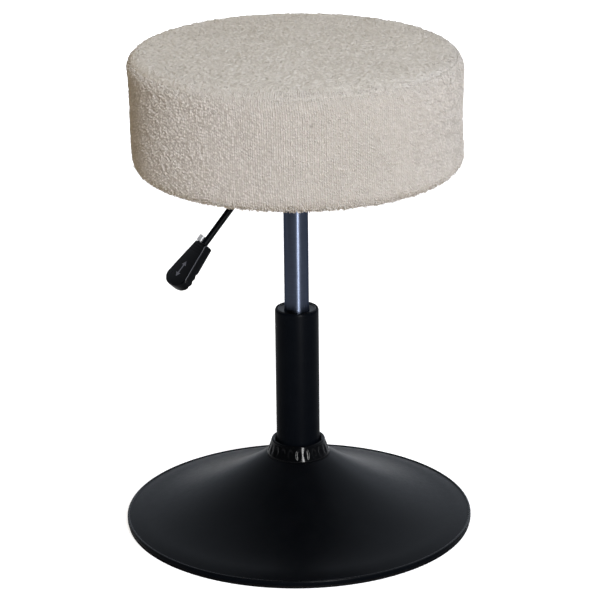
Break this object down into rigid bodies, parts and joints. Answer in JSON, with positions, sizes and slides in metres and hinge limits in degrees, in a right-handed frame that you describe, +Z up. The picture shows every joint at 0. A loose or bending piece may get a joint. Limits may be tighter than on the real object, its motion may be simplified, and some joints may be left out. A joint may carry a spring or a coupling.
{
  "type": "swivel vanity stool",
  "caption": "Round upholstered stool that swivels and rises on a gas lift, with a flared black steel base, a fluted collar and a bent side lever that releases the height.",
  "frame": {"origin": "on the floor, on the swivel axis, under the middle of the base", "axes": "+Z up along the swivel axis; the release lever points along -X"},
  "size_m": [0.4, 0.4, 0.5635],
  "materials": {
    "base_coat": "satin black powder coat",
    "floor_rubber": "matt black rubber",
    "ballast_iron": "rough dark casting",
    "collar_plastic": "glossy black moulding",
    "bush_plastic": "dark grey moulding",
    "lift_steel": "dark blue-grey satin steel",
    "bright_steel": "plain bright steel",
    "bearing_brass": "plain machined brass",
    "seal_rubber": "matt black rubber",
    "lever_coat": "satin black coat",
    "grip_plastic": "satin black moulding",
    "board_wood": "unfinished plywood",
    "foam": "open-cell seat foam",
    "looped_fabric": "beige looped wool-like knit with upright ribs",
    "dust_cloth": "thin black non-woven cloth"
  },
  "bodies": {
    "base": {"base_shell": "base_coat", "floor_ring": "floor_rubber", "ballast_plate": "ballast_iron", "base_hub": "base_coat", "collar": "collar_plastic", "outer_column": "base_coat", "column_end_plate": "bright_steel", "guide_bush": "bush_plastic", "bearing_lower_race": "bright_steel"},
    "bearing": {"bearing_cage": "bearing_brass", "bearing_ball_1": "bright_steel", "bearing_ball_2": "bright_steel", "bearing_ball_3": "bright_steel", "bearing_ball_4": "bright_steel", "bearing_ball_5": "bright_steel", "bearing_ball_6": "bright_steel", "bearing_ball_7": "bright_steel", "bearing_ball_8": "bright_steel"},
    "rod": {"piston_rod": "bright_steel", "piston_head": "bearing_brass", "bearing_upper_race": "bright_steel", "bumper": "seal_rubber", "rod_washer": "bright_steel", "rod_clip": "bright_steel"},
    "seat": {"gas_cylinder": "lift_steel", "rod_guide": "bearing_brass", "rod_seal": "seal_rubber", "valve_body": "bearing_brass", "seat_hub": "base_coat", "seat_plate": "base_coat", "lever_bracket": "bright_steel", "lever_pivot_pin": "bright_steel", "seat_bolt_1": "bright_steel", "seat_bolt_2": "bright_steel", "seat_bolt_3": "bright_steel", "seat_bolt_4": "bright_steel", "seat_washer_1": "bright_steel", "seat_washer_2": "bright_steel", "seat_washer_3": "bright_steel", "seat_washer_4": "bright_steel", "t_nut_1": "bright_steel", "t_nut_2": "bright_steel", "t_nut_3": "bright_steel", "t_nut_4": "bright_steel", "seat_board": "board_wood", "seat_foam": "foam", "cover_top": "looped_fabric", "cover_band": "looped_fabric", "dust_cover": "dust_cloth"},
    "lever": {"lever_tongue": "bright_steel", "lever_rod": "lever_coat", "lever_grip": "grip_plastic", "grip_screw": "bright_steel"},
    "button": {"release_button": "bright_steel"}
  },
  "joints": [
    {"name": "seat_swivel", "type": "hinge", "parent": "base", "child": "rod", "pos_m": [0, 0, 0.0353], "axis": [0, 0, 1], "continuous": true},
    {"name": "bearing_roll", "type": "hinge", "parent": "base", "child": "bearing", "pos_m": [0, 0, 0.0309], "axis": [0, 0, 1], "continuous": true},
    {"name": "seat_lift", "type": "slide", "parent": "rod", "child": "seat", "axis": [0, 0, 1], "range_m": [-0.115, 0]},
    {"name": "lever_lift", "type": "hinge", "parent": "seat", "child": "lever", "pos_m": [-0.028, 0, 0.4155], "axis": [0, 1, 0], "range_deg": [0, 6], "stiffness_Nm_per_rad": 5, "springref_deg": -3.44},
    {"name": "button_press", "type": "slide", "parent": "seat", "child": "button", "axis": [0, 0, -1], "range_m": [0, 0.0036]}
  ],
  "couplings": [
    {"joint": "bearing_roll", "follows": "seat_swivel", "ratio": 0.5},
    {"joint": "button_press", "follows": "lever_lift", "m_per_rad": 0.032}
  ]
}
